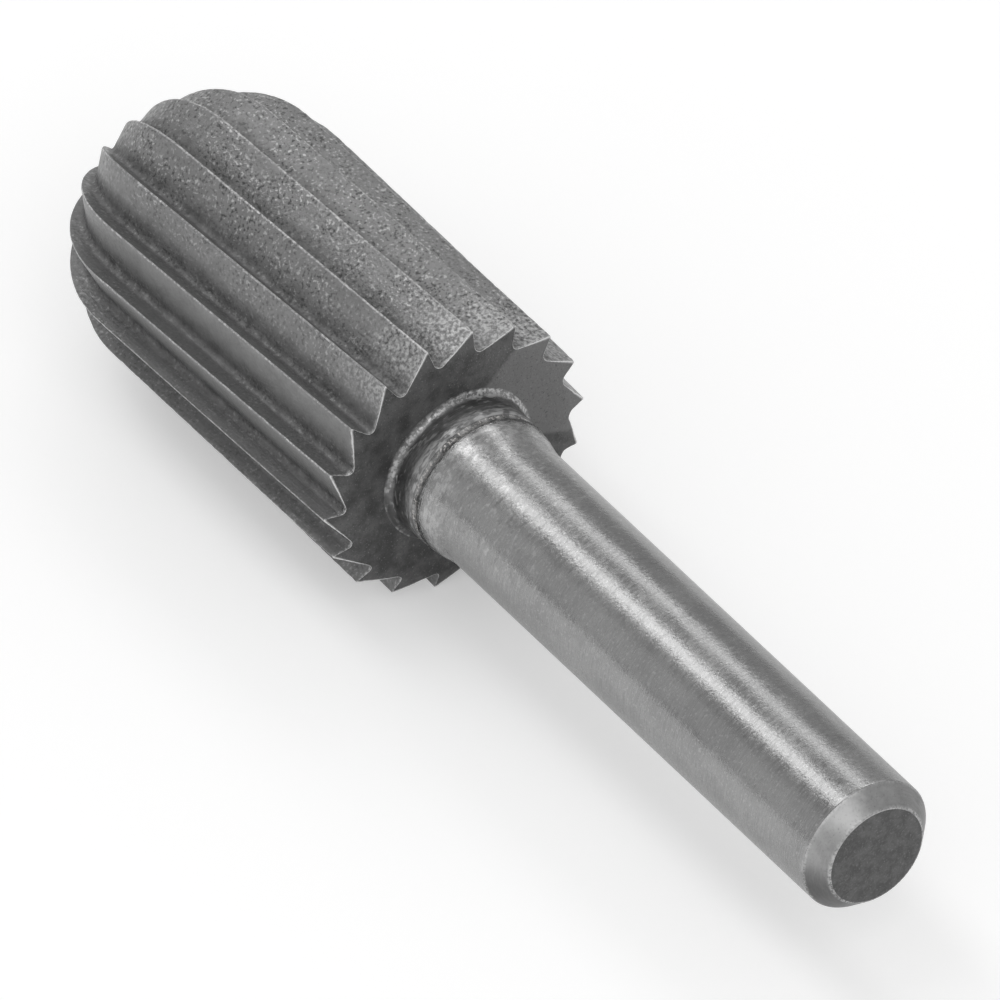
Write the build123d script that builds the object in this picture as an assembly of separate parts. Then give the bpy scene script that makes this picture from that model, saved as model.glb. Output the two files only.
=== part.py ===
from build123d import *
import os
from math import cos, degrees, radians, sin, tan

# Ball-nosed cylindrical rotary burr, lying on two of its teeth with the shank in the air.
# +X runs along the tool's axis from the cutting head to the shank's free end, and +Z is up.
# The origin is on the ground, under the middle of the tool's length.
# Distances called "along" are measured on the axis, from the shank's free end to the nose.

os.makedirs("parts", exist_ok=True)

# Shank: ground steel, held in a 6 mm collet
shank_diameter = 6.0
shank_length = 27.65
end_chamfer_width = 0.75
end_chamfer_length = 0.85
run_out_length = 1.7          # where the grinding wheel lifts off, in front of the braze
run_out_rise = 0.25

# Braze: the filler between the steel and the carbide
braze_thickness = 0.35
braze_recess = 0.05

# Cutting head: tungsten carbide, with a short collar behind its teeth
collar_diameter = 6.54
collar_length = 1.4
collar_chamfer = 0.06
collar_fillet = 0.34
head_diameter = 12.7
cylinder_length = 16.7        # from the head's back face to where the ball nose begins
nose_flat_angle = 85.0        # the teeth run out this far round the ball
back_flat_diameter = 10.8
back_bevel_length = 0.30

# Teeth: single cut, right-hand cutting
teeth = 18
helix_angle = 2.7             # left-hand lead
flute_depth = 1.0             # to the sharp corner under the root radius
root_radius = 0.30
root_flats = 4                # the root radius is drawn as this many narrow flats
land_width = 0.07             # witness land left on each cutting edge
face_lean = 0.5               # degrees by which the tooth's face leans back towards its root
resting_offset = 9.6          # degrees from the lowest line to the tooth that touches at its back end

# Derived values
shank_radius = shank_diameter / 2
collar_radius = collar_diameter / 2
head_radius = head_diameter / 2
back_flat_radius = back_flat_diameter / 2
collar_start = shank_length + braze_thickness
back_face = collar_start + collar_length
ball_centre = back_face + cylinder_length
overall_length = ball_centre + head_radius * sin(radians(nose_flat_angle))
tooth_pitch = 360 / teeth
land_angle = degrees(land_width / head_radius)
twist_rate = degrees(tan(radians(helix_angle)) / head_radius)

# The tool rests on the back end of one tooth and the front end of the next. Its centre of mass
# is nearer the back ends, so it rolls until the first is the further from the lowest line.
first_tooth_angle = -90 + resting_offset
front_offset = tooth_pitch - resting_offset - twist_rate * cylinder_length
axis_height = head_radius * cos(radians(front_offset - land_angle / 2))

tool_axis = Axis((0, 0, 0), (1, 0, 0))


def across(along):
    """Plane square to the axis, its first direction +Y and its second +Z."""
    return Plane(origin=(overall_length / 2 - along, 0, 0), x_dir=(0, 1, 0), z_dir=(1, 0, 0))


def beside(along, radius):
    """Point of a turned profile, in the plane that holds the axis."""
    return (overall_length / 2 - along, 0, radius)


def turned(*edges):
    """Solid of revolution from the edges of a half section that ends on the axis."""
    return revolve(make_face(Curve() + list(edges)), tool_axis)


def polar(radius, angle):
    """Point of a section, by its distance from the axis and its angle from +Y towards +Z."""
    return Vector(radius * cos(radians(angle)), radius * sin(radians(angle)))


def rounded_root(corner, before, after, radius):
    """Points along the radius that replaces a corner of the outline, from one side to the other."""
    back, ahead = (before - corner).normalized(), (after - corner).normalized()
    half_angle = radians(back.get_angle(ahead)) / 2
    centre = corner + (back + ahead).normalized() * (radius / sin(half_angle))
    spoke = corner + back * (radius / tan(half_angle)) - centre
    turn = 2 * degrees(half_angle) - 180
    return [centre + spoke.rotate(Axis.Z, turn * step / root_flats) for step in range(root_flats + 1)]


def toothed_section(along, scale=1.0):
    """Outline of all teeth where they cross a plane square to the axis.

    From each cutting edge the relief falls in a straight line to the root radius of the next
    tooth, whose face then stands up almost radially.
    """
    tip_radius = head_radius * scale
    root = (head_radius - flute_depth) * scale
    twist = first_tooth_angle + twist_rate * (along - back_face)
    outline = []
    for tooth in range(teeth):
        edge_angle = twist + tooth * tooth_pitch
        next_edge_angle = edge_angle + tooth_pitch - land_angle / 2
        land_front = polar(tip_radius, edge_angle - land_angle / 2)
        land_back = polar(tip_radius, edge_angle + land_angle / 2)
        corner = polar(root, next_edge_angle - face_lean)
        next_edge = polar(tip_radius, next_edge_angle)
        outline += [land_front, land_back]
        outline += rounded_root(corner, land_back, next_edge, root_radius * scale)
    return across(along) * Face(Wire.make_polygon(outline))


def fluted_cylinder():
    """Straight part of the head. Its flutes turn by only 7 degrees, so they are ruled in one
    straight run, and their edges leave the true helix by about a hundredth of a millimetre."""
    return loft([toothed_section(back_face), toothed_section(ball_centre)])


def fluted_ball():
    """Ball nose: the section shrinks round the ball, so the flutes run out towards its tip."""
    steps = 9
    sections = []
    for k in range(steps + 1):
        angle = radians(nose_flat_angle * k / steps)
        sections.append(toothed_section(ball_centre + head_radius * sin(angle), cos(angle)))
    return loft(sections)


def back_bevel():
    """Ring cut away behind the teeth, which slopes their back ends."""
    outer = head_radius + 0.5
    slope = back_bevel_length / (head_radius - back_flat_radius)
    outline = Polyline(
        beside(back_face - 0.5, back_flat_radius),
        beside(back_face, back_flat_radius),
        beside(back_face + slope * (outer - back_flat_radius), outer),
        beside(back_face - 0.5, outer),
        close=True,
    )
    return revolve(make_face(outline), tool_axis)


def collar():
    """Short neck of the carbide blank, blended into the head's back face."""
    return turned(
        Polyline(
            beside(back_face, 0),
            beside(collar_start, 0),
            beside(collar_start, collar_radius - collar_chamfer),
            beside(collar_start + 2 * collar_chamfer, collar_radius),
            beside(back_face - collar_fillet, collar_radius),
        ),
        TangentArc(
            beside(back_face - collar_fillet, collar_radius),
            beside(back_face, collar_radius + collar_fillet),
            tangent=(-1, 0, 0),
        ),
        Line(beside(back_face, collar_radius + collar_fillet), beside(back_face, 0)),
    )


def cutting_head():
    return fluted_cylinder() + fluted_ball() + collar() - back_bevel()


def braze_joint():
    """Disc of filler, its rim drawn in a little by surface tension."""
    rim = collar_radius - collar_chamfer
    return turned(
        Polyline(
            beside(collar_start, rim),
            beside(collar_start, 0),
            beside(shank_length, 0),
            beside(shank_length, rim),
        ),
        ThreePointArc(
            beside(shank_length, rim),
            beside(shank_length + braze_thickness / 2, rim - braze_recess),
            beside(collar_start, rim),
        ),
    )


def shank():
    """Ground pin with a bevelled free end and a flared run-out in front of the braze."""
    run_out_start = shank_length - run_out_length
    return turned(
        Polyline(
            beside(shank_length, 0),
            beside(0, 0),
            beside(0, shank_radius - end_chamfer_width),
            beside(end_chamfer_length, shank_radius),
            beside(run_out_start, shank_radius),
        ),
        Spline(
            beside(run_out_start, shank_radius),
            beside(shank_length - 0.65, shank_radius + 0.68 * run_out_rise),
            beside(shank_length, shank_radius + run_out_rise),
            tangents=[(-1, 0, 0), (-1, 0, 0.04)],
        ),
        Line(beside(shank_length, shank_radius + run_out_rise), beside(shank_length, 0)),
    )


def main():
    resting = Pos(0, 0, axis_height)
    for name, make in (("cutting_head", cutting_head), ("braze_joint", braze_joint), ("shank", shank)):
        export_step(resting * make(), f"parts/{name}.step")


main()
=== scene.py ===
"""Dresses a carbide burr: a ball-nosed head of tungsten carbide, brazed to a ground steel shank.

+X runs along the tool's axis from the head to the shank's free end, and +Z is up. Meshes are
built in millimetres round the axis, and are put in their place in metres at the end.
"""

import sys
import logging
import math
from dataclasses import dataclass, field
from enum import Enum

import bmesh
import bpy
from mathutils import Matrix, Vector, noise


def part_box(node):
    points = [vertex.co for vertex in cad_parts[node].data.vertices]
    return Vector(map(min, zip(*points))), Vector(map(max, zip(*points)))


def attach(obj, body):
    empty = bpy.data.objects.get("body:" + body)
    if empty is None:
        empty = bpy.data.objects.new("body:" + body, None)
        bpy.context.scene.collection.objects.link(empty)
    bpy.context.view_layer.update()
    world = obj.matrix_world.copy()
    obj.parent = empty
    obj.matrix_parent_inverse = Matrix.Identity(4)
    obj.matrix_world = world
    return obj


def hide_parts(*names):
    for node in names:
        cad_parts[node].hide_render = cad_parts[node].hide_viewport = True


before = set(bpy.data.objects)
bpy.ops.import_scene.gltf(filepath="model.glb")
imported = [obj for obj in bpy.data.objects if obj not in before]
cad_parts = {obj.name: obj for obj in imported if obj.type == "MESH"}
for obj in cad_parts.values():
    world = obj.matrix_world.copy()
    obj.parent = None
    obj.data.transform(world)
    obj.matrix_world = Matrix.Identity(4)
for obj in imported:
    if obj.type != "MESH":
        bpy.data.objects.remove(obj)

MILLIMETRE = 0.001

Triple = tuple[float, float, float]
Pair = tuple[float, float]
Row = tuple[float, ...]
Socket = bpy.types.NodeSocket
Material = bpy.types.Material
Block = bpy.types.Object
Mesh = bmesh.types.BMesh
Vert = bmesh.types.BMVert
Edge = bmesh.types.BMEdge

log = logging.getLogger("burr")


class Slot(Enum):
    """The record's material slots."""

    CARBIDE = "carbide"
    BRAZE = "braze"
    STEEL = "ground_steel"


class Zone(Enum):
    """Places of a piece's finishes in its list of materials."""

    MAIN = 0
    SECOND = 1
    THIRD = 2


class Mark(Enum):
    """Numbers kept on a mesh's vertices, from 0 to 1, which its finishes read."""

    EDGE_WEAR = "edge_wear"
    GULLET = "gullet"
    TOOTH_FACE = "tooth_face"
    FILLET = "fillet"

    def build(self, graph: "Graph") -> Socket:
        """Adds the node that reads the number."""
        return graph.add("ShaderNodeAttribute", attribute_name=self.value).outputs["Fac"]


# ---- Node graphs ----


@dataclass(frozen=True)
class Grain:
    """Cloudy noise, by the width of one grain in millimetres.

    Detail is the number of finer layers, and rough is their weight. Where stretch is under 1,
    the grains are longer along that axis.
    """

    size: float
    detail: float = 2.0
    rough: float = 0.6
    stretch: Triple | None = None

    def build(self, graph: "Graph") -> Socket:
        """Adds the noise's nodes.

        Args:
            graph: the material's nodes.

        Returns:
            The noise's value, from 0 to 1.
        """
        place = graph.place
        if self.stretch is not None:
            mapping = graph.add("ShaderNodeMapping", {"Vector": place, "Scale": self.stretch})
            place = mapping.outputs["Vector"]
        inputs = {"Vector": place, "Scale": 1 / (self.size * MILLIMETRE), "Detail": self.detail,
                  "Roughness": self.rough}
        return graph.add("ShaderNodeTexNoise", inputs).outputs["Fac"]


@dataclass(frozen=True)
class Band:
    """A range of a value, and the results at its start and end, with a smooth course between."""

    low: float
    high: float
    at_low: float = 0.0
    at_high: float = 1.0


@dataclass(frozen=True)
class Side:
    """The part of a piece that lies to one side of a plane.

    The direction is the plane's normal. The side starts at the low distance along it, in
    millimetres from the origin, and is full at the high one.
    """

    direction: Triple
    low: float
    high: float

    def build(self, graph: "Graph") -> Socket:
        """Adds the nodes that tell the side.

        Args:
            graph: the material's nodes.

        Returns:
            The share that lies on the side, from 0 to 1.
        """
        node = graph.add("ShaderNodeVectorMath", {0: graph.place, 1: self.direction},
                         operation="DOT_PRODUCT")
        reach = Band(self.low * MILLIMETRE, self.high * MILLIMETRE)
        return graph.window(node.outputs["Value"], reach)


class Graph:
    """A material's nodes, with short calls for the few kinds that the finishes use.

    Each call takes sockets, numbers, grains, sides and marks alike. The last three are built at
    their first use, and then shared. The graph keeps the tone and the normal reached so far.
    """

    def __init__(self, name: str) -> None:
        """Starts an empty material.

        Args:
            name: the material's name.
        """
        self.material = bpy.data.materials.new(name)
        self.material.use_nodes = True
        self.tree = self.material.node_tree
        self.tree.nodes.clear()
        self.place = self.add("ShaderNodeTexCoord").outputs["Object"]
        self.built: dict[object, Socket] = {}
        self.tone: Socket | None = None
        self.normal: Socket | None = None

    def add(self, kind: str, inputs: dict[str | int, object] | None = None,
            **settings: object) -> bpy.types.Node:
        """Adds a node.

        Args:
            kind: the node's type.
            inputs: what its inputs take, by their names or numbers.
            **settings: properties to set on it.

        Returns:
            The new node.
        """
        node = self.tree.nodes.new(kind)
        for key, value in settings.items():
            setattr(node, key, value)
        for key, value in (inputs or {}).items():
            value = self.read(value)
            if isinstance(value, Socket):
                self.tree.links.new(value, node.inputs[key])
            else:
                node.inputs[key].default_value = value
        return node

    def read(self, value: object) -> object:
        """Gives the socket that stands for a grain, a side or a mark.

        Args:
            value: one of these, or a socket, a number or a tuple.

        Returns:
            The socket, or the value itself.
        """
        if not isinstance(value, (Grain, Side, Mark)):
            return value
        if value not in self.built:
            self.built[value] = value.build(self)
        return self.built[value]

    def window(self, value: object, band: Band) -> Socket:
        """Maps a value by a band.

        Args:
            value: what to map.
            band: its range, and the results at both ends.

        Returns:
            The mapped value.
        """
        inputs = {"Value": value, "From Min": band.low, "From Max": band.high,
                  "To Min": band.at_low, "To Max": band.at_high}
        node = self.add("ShaderNodeMapRange", inputs, interpolation_type="SMOOTHSTEP")
        return node.outputs["Result"]

    def combine(self, operation: str, first: object, second: object) -> Socket:
        """Works out one value from two, by a Math node's operation."""
        return self.add("ShaderNodeMath", {0: first, 1: second}, operation=operation).outputs[0]

    def product(self, *values: object) -> Socket:
        """Multiplies values.

        Args:
            *values: one or more, taken in order.

        Returns:
            The product.
        """
        result = values[0]
        for value in values[1:]:
            result = self.combine("MULTIPLY", result, value)
        return result

    def blend(self, share: object, below: object, above: object) -> Socket:
        """Lays a colour over another one, as far as its share says."""
        node = self.add("ShaderNodeMix", {0: share, 6: below, 7: above}, data_type="RGBA")
        return node.outputs[2]

    def start(self, share: object, below: float, above: float) -> None:
        """Starts the tone with two greys, and the share of the second one."""
        self.tone = self.blend(share, grey(below), grey(above))

    def lay(self, level: float, *marks: object) -> None:
        """Lays a grey over the tone, with the product of the marks as its share."""
        self.tone = self.blend(self.product(*marks), self.tone, grey(level))

    def relief(self, height: object, depth: float, strength: object) -> None:
        """Lays a bumpy relief over the coarser one below it.

        Args:
            height: height, from 0 to 1.
            depth: height of 1 in millimetres.
            strength: share of the relief that shows.
        """
        inputs = {"Height": height, "Distance": depth * MILLIMETRE, "Strength": strength}
        if self.normal is not None:
            inputs["Normal"] = self.normal
        self.normal = self.add("ShaderNodeBump", inputs).outputs["Normal"]

    def finish(self, metallic: float, rough: object, **more: object) -> Material:
        """Closes the material with one Principled shader.

        Args:
            metallic: how metallic it is, from 0 to 1.
            rough: its roughness.
            **more: its other inputs, with underscores for spaces.

        Returns:
            The material.
        """
        inputs = {"Base Color": self.tone, "Metallic": metallic, "Roughness": rough,
                  "Normal": self.normal}
        inputs |= {key.replace("_", " "): value for key, value in more.items()}
        shader = self.add("ShaderNodeBsdfPrincipled", inputs)
        self.add("ShaderNodeOutputMaterial", {"Surface": shader.outputs["BSDF"]})
        return self.material


def grey(level: float, warmth: float = 0.0) -> Row:
    """Gives a grey, drawn a little towards brown by its warmth."""
    return (level * (1 + warmth), level, level * (1 - warmth), 1.0)


# ---- Finishes ----
#
# Each lists its greys, its grains, and the bands and sides in which they show. Its reliefs are a
# depth in millimetres and a strength. make() lays all over one another, the worn edges last.


@dataclass(frozen=True)
class GroundCarbide:
    """Sparkling grey of ground carbide teeth: bright worn edges, and gullets darkened by painted
    shade.
    """

    level: float = 0.25
    face_level: float = 0.22
    cloud_level: float = 0.155
    dark: float = 0.075
    bright: float = 0.52
    streak_level: float = 0.1375
    gullet_shade_level: float = 0.060
    edge_level: float = 0.56

    clouds: Grain = Grain(0.60, 3.0, 0.55)
    patches: Grain = Grain(2.4, 3.0, 0.55)
    speckle: Grain = Grain(0.15, rough=0.55)
    streaks: Grain = Grain(0.12, stretch=(0.10, 1.0, 1.0))
    nicks: Grain = Grain(0.13, 3.0, 0.62)

    upper_teeth: Side = Side((0.0, 0.6, 0.8), 4.6, 8.2)
    gullet_pitting: float = 0.9
    face_pitting: float = 0.8
    speckle_on_faces: Band = Band(0.0, 1.0, 1.0, 0.55)
    speckle_in_patches: Band = Band(0.35, 0.60, 0.40, 1.0)
    speckle_in_pitting: Band = Band(0.0, 1.0, 0.12, 1.0)
    cloudy: Band = Band(0.35, 0.68, 0.0, 0.35)
    dark_specks: Band = Band(0.35, 0.43, 0.95, 0.0)
    bright_specks: Band = Band(0.59, 0.67)
    rear: Side = Side((1.0, 0.0, 0.0), -7.5, -3.6)
    crest: Side = Side((0.0, 0.2, 0.98), 9.0, 11.5)
    rear_specks: Band = Band(0.44, 0.60, 0.1, 0.75)
    streaked: Band = Band(0.35, 0.65, 0.25, 0.0)
    gullet_shade: Band = Band(0.25, 0.75, 0.45, 0.85)
    worn: Band = Band(0.50, 0.95)
    worn_nicks: Band = Band(0.44, 0.60, 0.12, 1.0)
    worn_patches: Band = Band(0.38, 0.58, 0.55, 1.0)

    cloud_relief: Pair = (0.02, 0.35)
    speckle_depth: float = 0.045
    speckle_strength: Band = Band(0.0, 1.0, 0.25, 1.0)
    streaks_on_faces: float = 0.4
    metallic: float = 0.55
    roughness: Band = Band(0.35, 0.65, 0.52, 0.34)
    gullet_roughness: float = 0.18

    def make(self) -> Material:
        """Builds the material.

        Returns:
            The material.
        """
        g = Graph("ground_carbide")
        face = Mark.TOOTH_FACE
        gullet = Mark.GULLET
        inside = g.combine("MAXIMUM", g.product(gullet, self.gullet_pitting),
                           g.product(face, self.face_pitting))
        pitted = g.combine("MAXIMUM", self.upper_teeth, inside)
        uneven = g.product(g.window(self.patches, self.speckle_in_patches),
                           g.window(pitted, self.speckle_in_pitting))
        busy = g.product(g.window(face, self.speckle_on_faces), uneven)
        rear = g.product(self.rear, self.crest)
        wear = g.product(g.window(Mark.EDGE_WEAR, self.worn),
                         g.window(self.nicks, self.worn_nicks),
                         g.window(self.patches, self.worn_patches))
        g.start(face, self.level, self.face_level)
        g.lay(self.cloud_level, g.window(self.clouds, self.cloudy))
        g.lay(self.dark, g.window(self.speckle, self.dark_specks), busy)
        g.lay(self.bright, g.window(self.speckle, self.bright_specks), busy)
        g.lay(self.bright, rear, g.window(self.speckle, self.rear_specks))
        g.lay(self.streak_level, g.window(self.streaks, self.streaked), face)
        # painted shade: the gullets are darkened deep in the flutes, where shade falls
        g.lay(self.gullet_shade_level, gullet, g.window(self.clouds, self.gullet_shade))
        g.lay(self.edge_level, wear)
        rough = g.combine("ADD", g.window(self.speckle, self.roughness),
                          g.product(gullet, self.gullet_roughness))
        g.relief(self.clouds, *self.cloud_relief)
        fine = g.blend(g.product(face, self.streaks_on_faces), self.speckle, self.streaks)
        g.relief(fine, self.speckle_depth, g.window(busy, self.speckle_strength))
        return g.finish(self.metallic, rough)


@dataclass(frozen=True)
class SinteredCarbide:
    """Dark matt grey of carbide as it left the furnace, with painted light making one side of the
    face lighter.
    """

    dark: float = 0.050
    level: float = 0.1155
    lit_sector_level: float = 0.185
    bright: float = 0.26
    edge_level: float = 0.85

    fine: Grain = Grain(0.075, 3.0)
    patches: Grain = Grain(0.9, 3.0, 0.55)
    nicks: Grain = Grain(0.16, 3.0, 0.62)

    patchy: Band = Band(0.30, 0.70)
    lit_sector_above: Side = Side((0.0, 0.356, 0.935), 6.75, 7.00)
    lit_sector_beside: Side = Side((0.0, 0.65, -0.76), -6.52, -6.22)
    lit_sector_share: float = 0.85
    dark_specks: Band = Band(0.30, 0.42, 0.7, 0.0)
    bright_specks: Band = Band(0.60, 0.74, 0.0, 0.8)
    worn: Band = Band(0.85, 1.0)
    worn_nicks: Band = Band(0.30, 0.46, 0.35, 1.0)

    patch_relief: Pair = (0.03, 0.3)
    fine_relief: Pair = (0.018, 0.7)
    metallic: float = 0.35
    roughness: Band = Band(0.3, 0.7, 0.62, 0.48)

    def make(self) -> Material:
        """Builds the material.

        Returns:
            The material.
        """
        g = Graph("sintered_carbide")
        wear = g.product(g.window(Mark.EDGE_WEAR, self.worn),
                         g.window(self.nicks, self.worn_nicks))
        g.start(g.window(self.patches, self.patchy), self.dark, self.level)
        # painted light: one sector of the back face, between two planes, is made lighter
        g.lay(self.lit_sector_level, self.lit_sector_above, self.lit_sector_beside, self.lit_sector_share)
        g.lay(self.dark, g.window(self.fine, self.dark_specks))
        g.lay(self.bright, g.window(self.fine, self.bright_specks))
        g.lay(self.edge_level, wear)
        g.relief(self.patches, *self.patch_relief)
        g.relief(self.fine, *self.fine_relief)
        return g.finish(self.metallic, g.window(self.fine, self.roughness))


@dataclass(frozen=True)
class TurnedCarbide:
    """Grey of the turned collar and its fillet: rings, specks and smears of filler, a painted
    highlight on the upper side of the fillet and of the collar by the joint, and painted shadow
    under the fillet.
    """

    dark: float = 0.10
    level: float = 0.25
    bright: float = 0.46
    shadow: float = 0.05
    fillet_highlight_level: float = 0.44

    rings: Grain = Grain(0.06, stretch=(1.0, 0.06, 0.06))
    smears: Grain = Grain(0.17, stretch=(1.0, 0.30, 0.30))
    specks: Grain = Grain(0.14)
    patches: Grain = Grain(0.9, 3.0, 0.55)

    patchy: Band = Band(0.35, 0.65)
    dark_rings: Band = Band(0.40, 0.62, 0.5, 0.0)
    bright_smears: Band = Band(0.56, 0.66, 0.0, 0.8)
    fillet_below: Side = Side((0.0, -0.5, -0.87), -4.4, -3.2)
    shadow_share: float = 0.8
    fillet_lit_side: Side = Side((0.0, 0.5, 0.87), 3.7, 5.9)
    fillet_highlight_specks: Band = Band(0.43, 0.60, 0.15, 1.0)
    joint: Side = Side((1.0, 0.0, 0.0), -2.8, -1.9)
    joint_lit_side: Side = Side((0.0, -0.2, 0.98), 6.6, 9.0)
    joint_smears: Band = Band(0.42, 0.56, 0.2, 0.9)

    smear_relief: Pair = (0.02, 0.5)
    speck_relief: Pair = (0.020, 0.7)
    metallic: float = 0.80
    roughness: Band = Band(0.3, 0.7, 0.44, 0.32)

    def make(self) -> Material:
        """Builds the material.

        Returns:
            The material.
        """
        g = Graph("turned_carbide")
        fillet = Mark.FILLET
        joint = g.product(self.joint, self.joint_lit_side)
        g.start(g.window(self.patches, self.patchy), self.dark, self.level)
        g.lay(self.dark, g.window(self.rings, self.dark_rings))
        g.lay(self.bright, g.window(self.smears, self.bright_smears))
        g.lay(self.shadow, fillet, self.fillet_below, self.shadow_share)
        # painted highlight: bright specks along the fillet's upper side, where it catches the
        # light
        g.lay(self.fillet_highlight_level, g.product(fillet, self.fillet_lit_side),
              g.window(self.specks, self.fillet_highlight_specks))
        # partly real filler smears, partly a painted highlight: the bright smears by the joint are
        # kept to the collar's upper side
        g.lay(self.bright, joint, g.window(self.smears, self.joint_smears))
        g.relief(self.smears, *self.smear_relief)
        g.relief(self.specks, *self.speck_relief)
        return g.finish(self.metallic, g.window(self.specks, self.roughness))


@dataclass(frozen=True)
class GroundSteel:
    """Centreless-ground steel: short grinding marks round the shank, and a few stains."""

    dark: float = 0.27
    level: float = 0.324
    ring_level: float = 0.40
    stain: float = 0.20
    blotch: float = 0.50
    fleck_level: float = 0.58

    rings: Grain = Grain(0.05, stretch=(1.0, 0.06, 0.06))
    marks: Grain = Grain(0.14, stretch=(1.0, 0.45, 0.45))
    pits: Grain = Grain(0.085, stretch=(1.0, 0.60, 0.60))
    patches: Grain = Grain(1.6, 3.0, stretch=(0.6, 1.0, 1.0))
    flecks: Grain = Grain(0.22, stretch=(1.0, 0.5, 0.5))
    blotches: Grain = Grain(0.34, 3.0, 0.62, stretch=(1.0, 0.6, 0.6))

    patchy: Band = Band(0.32, 0.68)
    bright_rings: Band = Band(0.40, 0.68, 0.0, 0.35)
    stained_marks: Band = Band(0.30, 0.44, 0.30, 0.0)
    bright_pits: Band = Band(0.58, 0.68, 0.0, 0.45)
    near_joint: Side = Side((-1.0, 0.0, 0.0), -13.0, 0.0)
    near_top: Side = Side((0.0, -0.17, 0.98), 6.4, 8.2)
    bright_flecks: Band = Band(0.58, 0.70, 0.0, 0.45)
    dark_flecks: Band = Band(0.30, 0.42, 0.6, 0.0)
    at_joint: Side = Side((-1.0, 0.0, 0.0), -0.7, 1.0)
    joint_blotches: Band = Band(0.47, 0.60, 0.0, 0.7)
    worn_marks: Band = Band(0.42, 0.58, 0.1, 0.8)
    worn_patches: Band = Band(0.42, 0.60, 0.2, 1.0)

    ring_relief: Pair = (0.003, 0.5)
    mark_relief: Pair = (0.0095, 0.9)
    pit_relief: Pair = (0.010, 0.9)
    mark_roughness: Band = Band(0.30, 0.70, 0.185, 0.295)
    patch_roughness: Band = Band(0.3, 0.7, -0.03, 0.04)
    metallic: float = 1.0
    anisotropy: float = 0.40
    rim_tint: float = 0.78

    def make(self) -> Material:
        """Builds the material.

        Returns:
            The material.
        """
        g = Graph("ground_steel")
        near_joint = g.product(self.near_joint, self.near_top)
        wear = g.product(Mark.EDGE_WEAR, g.window(self.marks, self.worn_marks),
                         g.window(self.patches, self.worn_patches))
        g.start(g.window(self.patches, self.patchy), self.dark, self.level)
        g.lay(self.ring_level, g.window(self.rings, self.bright_rings))
        g.lay(self.stain, g.window(self.marks, self.stained_marks))
        g.lay(self.blotch, g.window(self.pits, self.bright_pits))
        g.lay(self.fleck_level, near_joint, g.window(self.flecks, self.bright_flecks))
        g.lay(self.stain, near_joint, g.window(self.flecks, self.dark_flecks))
        g.lay(self.blotch, self.at_joint, g.window(self.blotches, self.joint_blotches))
        g.lay(self.blotch, wear)
        rough = g.combine("ADD", g.window(self.marks, self.mark_roughness),
                          g.window(self.patches, self.patch_roughness))
        g.relief(self.marks, *self.mark_relief)
        g.relief(self.rings, *self.ring_relief)
        g.relief(self.pits, *self.pit_relief)
        return g.finish(self.metallic, rough, Anisotropic=self.anisotropy,
                        Specular_Tint=grey(self.rim_tint))


@dataclass(frozen=True)
class ChamferSteel:
    """Duller steel of the turned chamfer at the shank's free end, lighter on its upper side by
    painted light and darker on its low side by painted shadow.
    """

    dull_and_shaded: float = 0.17
    level: float = 0.42
    stain: float = 0.13
    shadow: float = 0.09
    edge_level: float = 0.55

    rings: Grain = Grain(0.05, stretch=(1.0, 0.10, 0.10))
    fine: Grain = Grain(0.10, 3.0)
    patches: Grain = Grain(0.9, 3.0)

    chamfer_lit_side: Side = Side((0.0, -0.34, 0.94), 6.0, 8.5)
    dull_patches: Band = Band(0.38, 0.64, 0.35, 0.0)
    bright_rings: Band = Band(0.40, 0.68, 0.0, 0.20)
    stains: Band = Band(0.30, 0.45, 0.3, 0.0)
    low_side: Side = Side((0.0, -0.74, -0.67), -2.8, -1.7)
    shadow_share: float = 0.65
    worn_specks: Band = Band(0.42, 0.58, 0.1, 0.8)
    worn_patches: Band = Band(0.40, 0.60, 0.5, 1.0)

    fine_relief: Pair = (0.008, 0.6)
    ring_relief: Pair = (0.004, 0.5)
    metallic: float = 0.9
    roughness: Band = Band(0.3, 0.7, 0.38, 0.46)

    def make(self) -> Material:
        """Builds the material.

        Returns:
            The material.
        """
        g = Graph("chamfer_steel")
        wear = g.product(Mark.EDGE_WEAR, g.window(self.fine, self.worn_specks),
                         g.window(self.patches, self.worn_patches))
        # painted light: the chamfer's upper side is lighter, while its lower side keeps the dull,
        # shaded grey
        g.start(self.chamfer_lit_side, self.dull_and_shaded, self.level)
        g.lay(self.dull_and_shaded, g.window(self.patches, self.dull_patches))
        g.lay(self.level, g.window(self.rings, self.bright_rings))
        g.lay(self.stain, g.window(self.fine, self.stains))
        g.lay(self.shadow, self.low_side, self.shadow_share)
        g.lay(self.edge_level, wear)
        g.relief(self.fine, *self.fine_relief)
        g.relief(self.rings, *self.ring_relief)
        return g.finish(self.metallic, g.window(self.patches, self.roughness))


@dataclass(frozen=True)
class SawnSteel:
    """Dull grey of the shank's cut-off end face."""

    dark: float = 0.0819
    level: float = 0.1239
    bright: float = 0.21

    fine: Grain = Grain(0.10, 3.0)
    patches: Grain = Grain(0.5, 4.0, 0.65)

    patchy: Band = Band(0.36, 0.64)
    bright_specks: Band = Band(0.55, 0.75, 0.0, 0.6)

    fine_relief: Pair = (0.012, 0.6)
    metallic: float = 0.45
    roughness: Band = Band(0.3, 0.7, 0.60, 0.48)

    def make(self) -> Material:
        """Builds the material.

        Returns:
            The material.
        """
        g = Graph("sawn_steel")
        g.start(g.window(self.patches, self.patchy), self.dark, self.level)
        g.lay(self.bright, g.window(self.fine, self.bright_specks))
        g.relief(self.fine, *self.fine_relief)
        return g.finish(self.metallic, g.window(self.fine, self.roughness))


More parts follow.
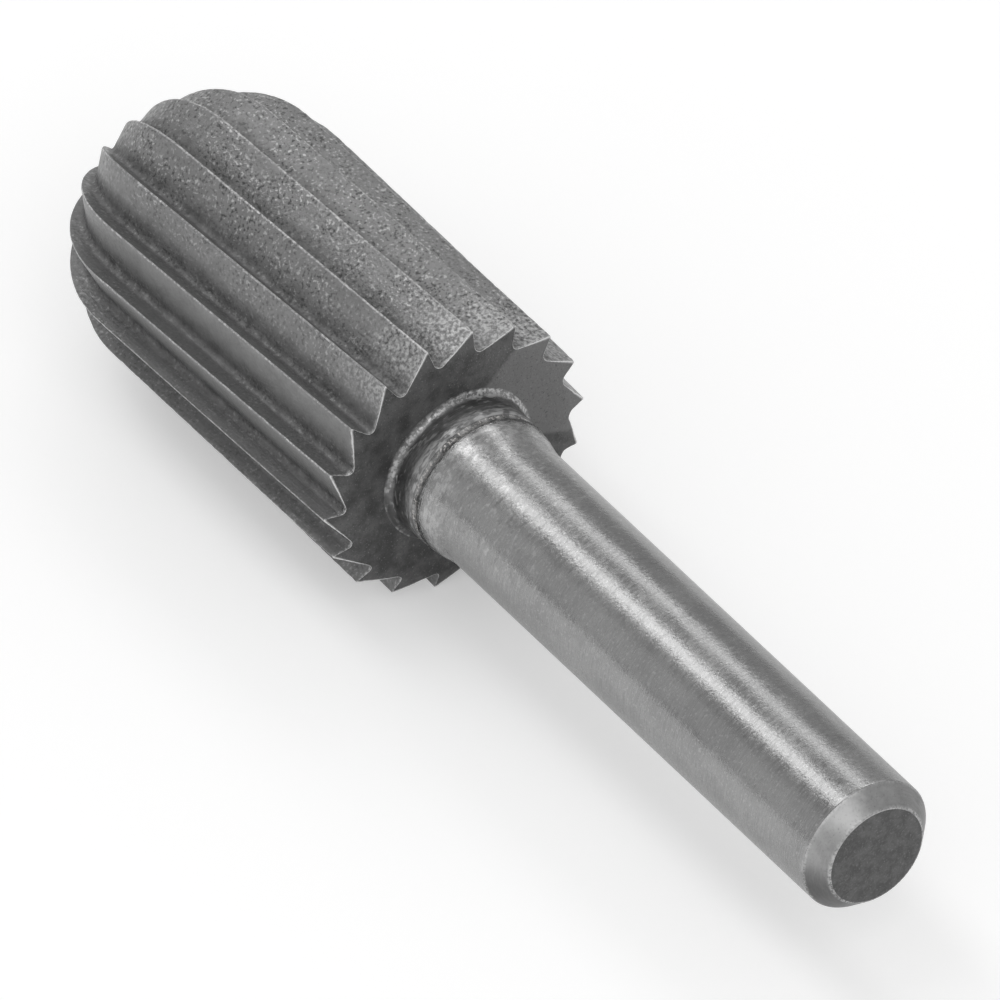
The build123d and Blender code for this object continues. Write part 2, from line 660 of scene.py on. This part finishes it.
@dataclass(frozen=True)
class Braze:
    """Dull silver filler, pitted and smeared round the joint."""

    dark: float = 0.15
    level: float = 0.38
    bright: float = 0.58
    bright_warmth: float = 0.03

    fine: Grain = Grain(0.10, 3.0, 0.65)
    patches: Grain = Grain(0.5, rough=0.5)

    patchy: Band = Band(0.35, 0.65)
    bright_specks: Band = Band(0.50, 0.62)

    fine_relief: Pair = (0.03, 0.8)
    metallic: float = 0.7
    roughness: Band = Band(0.3, 0.7, 0.55, 0.38)

    def make(self) -> Material:
        """Builds the material.

        Returns:
            The material.
        """
        g = Graph("silver_braze")
        g.start(g.window(self.patches, self.patchy), self.dark, self.level)
        g.tone = g.blend(g.window(self.fine, self.bright_specks), g.tone,
                         grey(self.bright, self.bright_warmth))
        g.relief(self.fine, *self.fine_relief)
        return g.finish(self.metallic, g.window(self.fine, self.roughness))


# ---- Pieces ----


def polar(radius: float, angle: float) -> Vector:
    """Gives a point at x = 0 by its distance from the axis and its angle from +Y towards +Z."""
    turn = math.radians(angle)
    return Vector((0.0, radius * math.cos(turn), radius * math.sin(turn)))


def from_axis(point: Vector) -> float:
    """Gives a point's distance from the tool's axis."""
    return Vector((point.y, point.z)).length


def to_radius(verts: list[Vert], radius: float, place: float) -> None:
    """Moves each vertex of a ring to one distance from the axis, and to one place on it.

    Args:
        verts: the ring's vertices.
        radius: the distance.
        place: the place along X.
    """
    for vert in verts:
        scale = radius / from_axis(vert.co)
        vert.co = (place, vert.co.y * scale, vert.co.z * scale)


@dataclass
class Piece:
    """A piece of the burr that is built round the axis and then put in its place."""

    name: str
    node: str
    slot: Slot
    axis_height: float
    finishes: list[Material] = field(default_factory=list)
    bm: Mesh = field(default_factory=bmesh.new)
    sharp: float = 32.0

    def zone(self, middle: Vector) -> Zone:
        """Chooses the finish of a face, by its middle."""
        return Zone.MAIN

    def spread(self, edges: list[Edge]) -> tuple[list[Vert], list[Edge]]:
        """Draws a strip of faces out of a ring of edges, of no width yet.

        Args:
            edges: the ring.

        Returns:
            The new ring's vertices and edges.
        """
        made = bmesh.ops.extrude_edge_only(self.bm, edges=edges)["geom"]
        verts = [item for item in made if isinstance(item, Vert)]
        new = set(verts)
        ring = [item for item in made if isinstance(item, Edge)
                and item.verts[0] in new and item.verts[1] in new]
        return verts, ring

    def round_off(self, edges: list[Edge], width: float, segments: int) -> None:
        """Rounds edges, and marks the rounding as worn.

        Args:
            edges: what to round.
            width: width of the rounding.
            segments: number of strips across it.
        """
        wear = self.bm.verts.layers.float[Mark.EDGE_WEAR.value]
        made = bmesh.ops.bevel(self.bm, geom=edges, offset=width, offset_type="OFFSET",
                               segments=segments, profile=0.5, affect="EDGES", material=-1,
                               clamp_overlap=True)
        for vert in made["verts"]:
            vert[wear] = 1.0

    def close(self) -> Block:
        """Dresses the mesh, puts it in its place and makes it stand for its node.

        An edge over the sharp angle shades sharp.

        Returns:
            The finished object.
        """
        for face in self.bm.faces:
            face.material_index = self.zone(face.calc_center_median()).value
            face.smooth = True
        bmesh.ops.recalc_face_normals(self.bm, faces=self.bm.faces)
        bmesh.ops.translate(self.bm, vec=(0, 0, self.axis_height), verts=self.bm.verts)
        bmesh.ops.scale(self.bm, vec=(MILLIMETRE,) * 3, verts=self.bm.verts)
        limit = math.radians(self.sharp)
        for edge in self.bm.edges:
            edge.smooth = len(edge.link_faces) != 2 or edge.calc_face_angle(0.0) < limit
        mesh = bpy.data.meshes.new(self.name)
        self.bm.to_mesh(mesh)
        self.bm.free()
        piece = bpy.data.objects.new(self.name, mesh)
        bpy.context.collection.objects.link(piece)
        for finish in self.finishes:
            mesh.materials.append(finish)
        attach(piece, "root")
        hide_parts(self.node)
        log.info("%s: %d faces", self.name, len(mesh.polygons))
        return piece


@dataclass
class CuttingHead(Piece):
    """The carbide head: 18 teeth on a cylinder with a ball nose, and the collar behind them.

    One tooth's outline is repeated to a ring, just in front of the teeth's back ends. The ring is
    drawn forward along the flutes to the nose, and backward over the back face and the collar.
    """

    # The head's and the collar's form
    collar_end: float = 0.0
    head_radius: float = 6.35
    cylinder_length: float = 16.7
    nose_flat_angle: float = 85.0
    back_flat_radius: float = 5.4
    back_bevel_length: float = 0.30
    collar_radius: float = 3.27
    collar_length: float = 1.4
    collar_chamfer: float = 0.06
    collar_fillet: float = 0.34

    # The teeth's form, with angles in degrees
    teeth: int = 18
    helix_angle: float = 2.7
    flute_depth: float = 1.0
    root_radius: float = 0.30
    land_width: float = 0.07
    face_lean: float = 0.5
    first_tooth_angle: float = -80.4

    # How a tooth's outline is divided, with the number of cuts for sides over a length
    edge_support: float = 0.05
    root_segments: int = 6
    side_cuts: tuple[tuple[float, int], ...] = ((1.0, 6), (0.30, 3))
    merge_distance: float = 0.002

    # How the head is divided along its axis, and the rings that close its ends
    first_gap: float = 0.15
    ring_step: float = 0.20
    nose_steps: int = 40
    nose_closing: Row = (0.6, 0.3)
    back_rings: Row = (4.9, 4.3)
    back_support: float = 0.06
    collar_support: float = 0.5
    collar_closing: Row = (2.0, 0.8)

    # Rounding and chips, whose noises are waves for each millimetre and a weight
    outline_rounding: float = 0.045
    outline_segments: int = 2
    rub_depth: float = 0.008
    chip_depth: float = 0.045
    chip_noises: tuple[Pair, ...] = ((2.3, 0.5), (6.1, 0.7))
    chip_from_wear: float = 0.9
    chip_from_radius: float = 1.0

    # Where the marks and the finishes begin
    land_margin: float = 0.004
    gullet_start: float = 0.55
    gullet_range: float = 0.40
    tooth_face_width: float = 0.9
    fillet_marks: Row = (1.0, 1.0, 1.0, 0.4, 0.0, 0.0)
    back_margin: float = 0.035
    collar_margin: float = 0.002

    @property
    def pitch(self) -> float:
        """Angle from one tooth to the next, in degrees."""
        return 360 / self.teeth

    @property
    def root_circle(self) -> float:
        """Distance from the axis to the sharp corner under the root radius."""
        return self.head_radius - self.flute_depth

    @property
    def back_face(self) -> float:
        """Place of the back face along X."""
        return self.collar_end - self.collar_length

    @property
    def back_slope(self) -> float:
        """Distance that the teeth's back ends run forward for each millimetre outward."""
        return self.back_bevel_length / (self.head_radius - self.back_flat_radius)

    @property
    def twist_rate(self) -> float:
        """Turn of the teeth in degrees for each millimetre towards the nose."""
        return math.degrees(math.tan(math.radians(self.helix_angle)) / self.head_radius)

    def tooth(self) -> None:
        """Draws one tooth's outline, from its cutting edge to the next tooth's.

        The relief falls in a straight line from the land to a radius at the root, from which
        the next tooth's face stands up almost radially.
        """
        for mark in Mark:
            self.bm.verts.layers.float.new(mark.value)
        half_land = math.degrees(self.land_width / self.head_radius) / 2
        edge = self.first_tooth_angle
        next_edge = edge + self.pitch - half_land
        corners = [self.bm.verts.new(point) for point in (
            polar(self.head_radius, edge - half_land),
            polar(self.head_radius, edge + half_land),
            polar(self.root_circle, next_edge - self.face_lean),
            polar(self.head_radius, next_edge),
        )]
        _, relief, face = [self.bm.edges.new(pair) for pair in zip(corners, corners[1:])]
        _, land_back, root, land_front = corners
        half_angle = (land_back.co - root.co).angle(land_front.co - root.co) / 2
        for side, corner in ((relief, land_back), (face, land_front)):
            bmesh.utils.edge_split(side, corner, self.edge_support / side.calc_length())
        bmesh.ops.bevel(self.bm, geom=[root], offset=self.root_radius / math.tan(half_angle),
                        offset_type="OFFSET", segments=self.root_segments, profile=0.5,
                        affect="VERTICES", material=-1)
        for side in list(self.bm.edges):
            size = side.calc_length()
            cuts = next((number for length, number in self.side_cuts if size > length), 0)
            if cuts:
                bmesh.ops.subdivide_edges(self.bm, edges=[side], cuts=cuts)
        self.mark_tooth(next_edge)

    def mark_tooth(self, next_edge: float) -> None:
        """Marks the cutting edges, the gullet and the next tooth's face.

        Args:
            next_edge: angle of the next tooth's edge, in degrees.
        """
        layers = self.bm.verts.layers.float
        wear = layers[Mark.EDGE_WEAR.value]
        gullet = layers[Mark.GULLET.value]
        tooth_face = layers[Mark.TOOTH_FACE.value]
        for vert in self.bm.verts:
            radius = from_axis(vert.co)
            turned = math.degrees(math.atan2(vert.co.z, vert.co.y)) - next_edge
            ahead = (turned + 180) % 360 - 180
            depth = 1 - (radius - self.root_circle) / self.flute_depth
            share = (depth - self.gullet_start) / self.gullet_range
            vert[wear] = 1.0 if radius > self.head_radius - self.land_margin else 0.0
            vert[gullet] = max(0.0, min(1.0, share))
            vert[tooth_face] = 1.0 if ahead > -self.tooth_face_width else 0.0

    def ring(self) -> list[Edge]:
        """Repeats the tooth round the axis and joins the ends.

        Returns:
            The edges of the closed ring.
        """
        turn = math.tau * (self.teeth - 1) / self.teeth
        outline = [*self.bm.verts, *self.bm.edges]
        bmesh.ops.spin(self.bm, geom=outline, cent=(0, 0, 0), axis=(1, 0, 0), dvec=(0, 0, 0),
                       angle=turn, steps=self.teeth - 1, use_duplicate=True)
        bmesh.ops.remove_doubles(self.bm, verts=self.bm.verts, dist=self.merge_distance)
        return list(self.bm.edges)

    def carry(self, verts: list[Vert], ahead: float, scale: float = 1.0) -> None:
        """Moves a ring towards the nose along the flutes.

        Args:
            verts: the ring's vertices.
            ahead: distance towards the nose.
            scale: factor on the ring's size.
        """
        turn = Matrix.Rotation(math.radians(self.twist_rate * ahead), 3, "X")
        bmesh.ops.rotate(self.bm, cent=(0, 0, 0), verts=verts, matrix=turn)
        bmesh.ops.translate(self.bm, vec=(-ahead, 0, 0), verts=verts)
        bmesh.ops.scale(self.bm, vec=(1, scale, scale), verts=verts)

    def draw_teeth(self, ring: list[Edge]) -> None:
        """Draws the teeth along the cylinder and round the ball, and closes its tip.

        Args:
            ring: the first ring.
        """
        length = self.cylinder_length - self.back_bevel_length - self.first_gap
        steps = round(length / self.ring_step)
        for _ in range(steps):
            verts, ring = self.spread(ring)
            self.carry(verts, length / steps)
        before = 0.0
        for step in range(self.nose_steps):
            angle = math.radians(self.nose_flat_angle * (step + 1) / self.nose_steps)
            verts, ring = self.spread(ring)
            self.carry(verts, self.head_radius * (math.sin(angle) - math.sin(before)),
                       math.cos(angle) / math.cos(before))
            before = angle
        for scale in self.nose_closing:
            verts, ring = self.spread(ring)
            bmesh.ops.scale(self.bm, vec=(1, scale, scale), verts=verts)
        bmesh.ops.pointmerge(self.bm, verts=verts, merge_co=(verts[0].co.x, 0, 0))

    def end_teeth(self, ring: list[Edge]) -> list[Edge]:
        """Ends the teeth on a shallow cone.

        Args:
            ring: the first ring.

        Returns:
            The outline of the teeth's back ends.
        """
        verts, ring = self.spread(ring)
        for vert in verts:
            outside = max(0.0, from_axis(vert.co) - self.back_flat_radius)
            back = self.back_bevel_length + self.first_gap - self.back_slope * outside
            turn = Matrix.Rotation(math.radians(-self.twist_rate * back), 3, "X")
            vert.co = turn @ vert.co + Vector((back, 0, 0))
        return ring

    def draw_back(self, outline: list[Edge]) -> list[Edge]:
        """Draws the back face inward, from the teeth's back ends to the fillet.

        Args:
            outline: the outline of the teeth's back ends.

        Returns:
            The ring where the fillet begins.
        """
        verts, ring = self.spread(outline)
        for vert in verts:
            inside = min(from_axis(vert.co), self.back_flat_radius) - self.back_support
            to_radius([vert], inside, self.back_face)
        self.unmark(verts)
        for radius in (*self.back_rings, self.collar_radius + self.collar_fillet):
            verts, ring = self.spread(ring)
            to_radius(verts, radius, self.back_face)
            self.unmark(verts)
        return ring

    def draw_collar(self, ring: list[Edge]) -> None:
        """Draws the fillet and the collar, and closes its end.

        Args:
            ring: the ring where the fillet begins.
        """
        fillet = self.bm.verts.layers.float[Mark.FILLET.value]
        centre = self.collar_radius + self.collar_fillet
        for step, mark in enumerate(self.fillet_marks, 1):
            angle = math.radians(90 * step / len(self.fillet_marks))
            verts, ring = self.spread(ring)
            to_radius(verts, centre - self.collar_fillet * math.sin(angle),
                      self.back_face + self.collar_fillet * (1 - math.cos(angle)))
            for vert in verts:
                vert[fillet] = mark
        shoulder = self.collar_end - self.collar_chamfer
        stations = [(shoulder - self.collar_support, self.collar_radius),
                    (shoulder - self.collar_chamfer, self.collar_radius),
                    (self.collar_end, self.collar_radius - self.collar_chamfer)]
        stations += [(self.collar_end, radius) for radius in self.collar_closing]
        for place, radius in stations:
            verts, ring = self.spread(ring)
            to_radius(verts, radius, place)
            self.unmark(verts)
        bmesh.ops.pointmerge(self.bm, verts=verts, merge_co=(self.collar_end, 0, 0))

    def unmark(self, verts: list[Vert]) -> None:
        """Takes all marks off a ring, which has them from the ring it was drawn from.

        Args:
            verts: the ring's vertices.
        """
        layers = [self.bm.verts.layers.float[mark.value] for mark in Mark]
        for vert in verts:
            for layer in layers:
                vert[layer] = 0.0

    def nibble(self) -> None:
        """Roughens the cutting edges, as grinding leaves them."""
        wear = self.bm.verts.layers.float[Mark.EDGE_WEAR.value]
        for vert in self.bm.verts:
            radius = from_axis(vert.co)
            if vert[wear] > self.chip_from_wear and radius > self.chip_from_radius:
                chip = max(0.0, sum(noise.noise(vert.co * waves) * weight
                                    for waves, weight in self.chip_noises))
                cut = 1 - (self.rub_depth + self.chip_depth * chip) / radius
                vert.co.y *= cut
                vert.co.z *= cut

    def zone(self, middle: Vector) -> Zone:
        """Tells the collar, the back face and the teeth apart.

        Args:
            middle: a face's middle.

        Returns:
            The place of its finish.
        """
        outside = max(0.0, from_axis(middle) - self.back_flat_radius)
        if middle.x > self.back_face + self.collar_margin:
            return Zone.THIRD
        if middle.x > self.back_face - self.back_slope * outside - self.back_margin:
            return Zone.SECOND
        return Zone.MAIN

    def build(self) -> Block:
        """Builds the head.

        Returns:
            The finished object.
        """
        self.tooth()
        ring = self.ring()
        start = self.back_face - self.back_bevel_length - self.first_gap
        self.carry(list(self.bm.verts), self.back_bevel_length + self.first_gap)
        shift = start - next(iter(self.bm.verts)).co.x
        bmesh.ops.translate(self.bm, vec=(shift, 0, 0), verts=self.bm.verts)
        self.draw_teeth(ring)
        outline = self.end_teeth(ring)
        self.draw_collar(self.draw_back(outline))
        self.round_off(outline, self.outline_rounding, self.outline_segments)
        self.nibble()
        return self.close()


@dataclass
class TurnedPiece(Piece):
    """A piece turned from a profile of places along X and distances from the axis."""

    steps: int = 160
    merge_distance: float = 0.0005
    rim_angle: float = 12.0
    rim_width: float = 0.05
    rim_segments: int = 3
    same_place: float = 1e-5
    sharp: float = 50.0

    def turn(self, profile: list[Pair]) -> Block:
        """Spins a profile round the axis and rounds the edges between its parts.

        Args:
            profile: points from end to end, the first and last on the axis.

        Returns:
            The finished object.
        """
        self.bm.verts.layers.float.new(Mark.EDGE_WEAR.value)
        chain = [self.bm.verts.new((place, 0, radius)) for place, radius in profile]
        edges = [self.bm.edges.new(pair) for pair in zip(chain, chain[1:])]
        bmesh.ops.spin(self.bm, geom=chain + edges, cent=(0, 0, 0), axis=(1, 0, 0), dvec=(0, 0, 0),
                       angle=math.tau, steps=self.steps, use_merge=True)
        bmesh.ops.remove_doubles(self.bm, verts=self.bm.verts, dist=self.merge_distance)
        limit = math.radians(self.rim_angle)
        rims = [edge for edge in self.bm.edges if len(edge.link_faces) == 2
                and edge.calc_face_angle(0.0) > limit
                and abs(edge.verts[0].co.x - edge.verts[1].co.x) < self.same_place]
        self.round_off(rims, self.rim_width, self.rim_segments)
        return self.close()


@dataclass
class Shank(TurnedPiece):
    """The steel shank: ground, with a bevelled end and a flared run-out before the braze.

    The flare's points are shares of the run-out's length and rise. The supports are rings beside
    the chamfer's edges: a distance on the flat sides, and a share of the chamfer.
    """

    start: float = 0.0
    end: float = 0.0
    radius: float = 3.0
    chamfer_width: float = 0.75
    chamfer_length: float = 0.85
    run_out_length: float = 1.7
    run_out_rise: float = 0.25
    flare: tuple[Pair, ...] = (
        (1.0, 1.0), (0.82, 0.86), (0.62, 0.68), (0.45, 0.44), (0.30, 0.23), (0.15, 0.07),
    )
    side_support: float = 0.14
    chamfer_support: float = 0.13
    end_margin: float = 1e-3

    def zone(self, middle: Vector) -> Zone:
        """Tells the end face, the chamfer and the ground side apart.

        Args:
            middle: a face's middle.

        Returns:
            The place of its finish.
        """
        if abs(middle.x - self.end) < self.end_margin:
            return Zone.SECOND
        if middle.x > self.end - self.chamfer_length:
            return Zone.THIRD
        return Zone.MAIN

    def build(self) -> Block:
        """Builds the shank.

        Returns:
            The finished object.
        """
        corner = Vector((self.end - self.chamfer_length, self.radius))
        rim = Vector((self.end, self.radius - self.chamfer_width))
        profile = [(self.start, 0.0)]
        profile += [(self.start + self.run_out_length * (1 - share),
                     self.radius + self.run_out_rise * rise) for share, rise in self.flare]
        profile += [
            (self.start + self.run_out_length, self.radius),
            (corner.x - self.side_support, self.radius),
            corner[:],
            corner.lerp(rim, self.chamfer_support)[:],
            corner.lerp(rim, 1 - self.chamfer_support)[:],
            rim[:],
            (self.end, rim.y - self.side_support),
            (self.end, 0.0),
        ]
        return self.turn(profile)


@dataclass
class BrazeJoint(TurnedPiece):
    """The ring of filler between the steel and the carbide, drawn in by surface tension."""

    start: float = 0.0
    end: float = 0.0
    radius: float = 3.21
    recess: float = 0.05
    hollow_steps: int = 6
    rim_width: float = 0.02

    def build(self) -> Block:
        """Builds the joint.

        Returns:
            The finished object.
        """
        profile = [(self.start, 0.0)]
        for step in range(self.hollow_steps + 1):
            share = step / self.hollow_steps
            depth = self.recess * math.sin(math.pi * share)
            profile.append((self.start + (self.end - self.start) * share, self.radius - depth))
        profile.append((self.end, 0.0))
        return self.turn(profile)


# ---- Studio ----


@dataclass(frozen=True)
class SoftLight:
    """A rectangular lamp that faces the burr, its length in the plane of the tool's axis.

    Its angles are its width and length in degrees, seen from the burr. Its strength is the share
    of the plain light level that it gives to a surface facing it.
    """

    name: str
    towards: Triple
    width_angle: float
    length_angle: float
    strength: float
    distance: float = 0.9

    def place(self) -> None:
        """Puts the lamp in the scene."""
        lamp = bpy.data.lights.new(self.name, "AREA")
        lamp.shape = "RECTANGLE"
        lamp.size = 2 * self.distance * math.tan(math.radians(self.width_angle / 2))
        lamp.size_y = 2 * self.distance * math.tan(math.radians(self.length_angle / 2))
        lamp.energy = self.strength * (math.pi * self.distance) ** 2
        holder = bpy.data.objects.new(self.name, lamp)
        way = Vector(self.towards).normalized()
        across = way.cross(Vector((1, 0, 0))).normalized()
        turn = Matrix((across, way.cross(across), way)).transposed()
        holder.matrix_world = Matrix.Translation(way * self.distance) @ turn.to_4x4()
        bpy.context.collection.objects.link(holder)


@dataclass(frozen=True)
class Studio:
    """Pale floor, grey surroundings, soft lamps and the camera, in metres."""

    floor_size: float = 6.0
    floor_colour: float = 0.76
    floor_lift: float = 0.34
    surroundings: float = 0.53
    lamps: tuple[SoftLight, ...] = (
        SoftLight("lamp_left", (-0.53, -0.140, 0.836), 16, 54, 0.183),
        SoftLight("lamp_right", (-0.53, 0.468, 0.707), 13, 54, 0.11),
        SoftLight("lamp_front", (0.68, -0.22, 0.70), 38, 38, 0.22),
        SoftLight("lamp_side", (0.0, -0.87, 0.45), 40, 100, 0.12),
    )
    camera_place: Triple = (0.939310, -0.611119, 0.989636)
    camera_right: Triple = (0.56655, 0.82350, -0.02952)
    camera_up: Triple = (-0.53095, 0.39221, 0.75118)
    camera_back: Triple = (0.63017, -0.40991, 0.65944)
    focal_length: float = 1335.48
    sensor_width: float = 36.0
    nearest: float = 0.05
    farthest: float = 20.0

    def floor(self) -> None:
        """Lays the floor."""
        bm = bmesh.new()
        bmesh.ops.create_grid(bm, x_segments=2, y_segments=2, size=self.floor_size / 2)
        mesh = bpy.data.meshes.new("floor")
        bm.to_mesh(mesh)
        bm.free()
        floor = bpy.data.objects.new("floor", mesh)
        bpy.context.collection.objects.link(floor)
        mesh.materials.append(self.floor_paint())

    def floor_paint(self) -> Material:
        """Builds the floor's paint, which looks white but keeps the burr's shadow.

        Returns:
            The material.
        """
        g = Graph("floor_paint")
        matt = g.add("ShaderNodeBsdfDiffuse", {"Color": grey(self.floor_colour)})
        rays = g.add("ShaderNodeLightPath")
        reflected = g.combine("MAXIMUM", rays.outputs["Is Glossy Ray"],
                              rays.outputs["Is Transmission Ray"])
        seen = g.combine("MAXIMUM", rays.outputs["Is Camera Ray"], reflected)
        glow = g.add("ShaderNodeEmission", {"Strength": g.product(seen, self.floor_lift)})
        both = g.add("ShaderNodeAddShader", {0: matt.outputs[0], 1: glow.outputs[0]})
        g.add("ShaderNodeOutputMaterial", {"Surface": both.outputs[0]})
        return g.material

    def light(self) -> None:
        """Sets the surroundings and the lamps."""
        world = bpy.data.worlds.new("surroundings")
        world.use_nodes = True
        sky = world.node_tree.nodes["Background"]
        sky.inputs["Color"].default_value = grey(self.surroundings)
        sky.inputs["Strength"].default_value = 1.0
        bpy.context.scene.world = world
        for lamp in self.lamps:
            lamp.place()

    def camera(self) -> None:
        """Sets the camera, far off with a long lens."""
        lens = bpy.data.cameras.new("camera")
        lens.lens = self.focal_length
        lens.sensor_width = self.sensor_width
        lens.clip_start = self.nearest
        lens.clip_end = self.farthest
        camera = bpy.data.objects.new("camera", lens)
        turn = Matrix((self.camera_right, self.camera_up, self.camera_back)).transposed()
        camera.matrix_world = Matrix.Translation(self.camera_place) @ turn.to_4x4()
        bpy.context.collection.objects.link(camera)
        bpy.context.scene.camera = camera

    def build(self) -> None:
        """Builds the studio."""
        self.floor()
        self.light()
        self.camera()
        bpy.context.scene.view_settings.view_transform = "Standard"


def main() -> None:
    """Builds the burr's pieces and the studio."""
    logging.basicConfig(level=logging.INFO, format="%(name)s %(message)s", stream=sys.stdout)
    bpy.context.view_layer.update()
    head_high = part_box("cutting_head")[1]
    braze_low, braze_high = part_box("braze_joint")
    shank_low, shank_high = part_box("shank")
    axis_height = (shank_low.z + shank_high.z) / 2 / MILLIMETRE
    CuttingHead("carbide_head", "cutting_head", Slot.CARBIDE, axis_height,
                [GroundCarbide().make(), SinteredCarbide().make(), TurnedCarbide().make()],
                collar_end=head_high.x / MILLIMETRE).build()
    BrazeJoint("braze_ring", "braze_joint", Slot.BRAZE, axis_height, [Braze().make()],
               start=braze_low.x / MILLIMETRE, end=braze_high.x / MILLIMETRE).build()
    Shank("steel_shank", "shank", Slot.STEEL, axis_height,
          [GroundSteel().make(), SawnSteel().make(), ChamferSteel().make()],
          start=shank_low.x / MILLIMETRE, end=shank_high.x / MILLIMETRE).build()
    Studio().build()


if __name__ == "__main__":
    main()
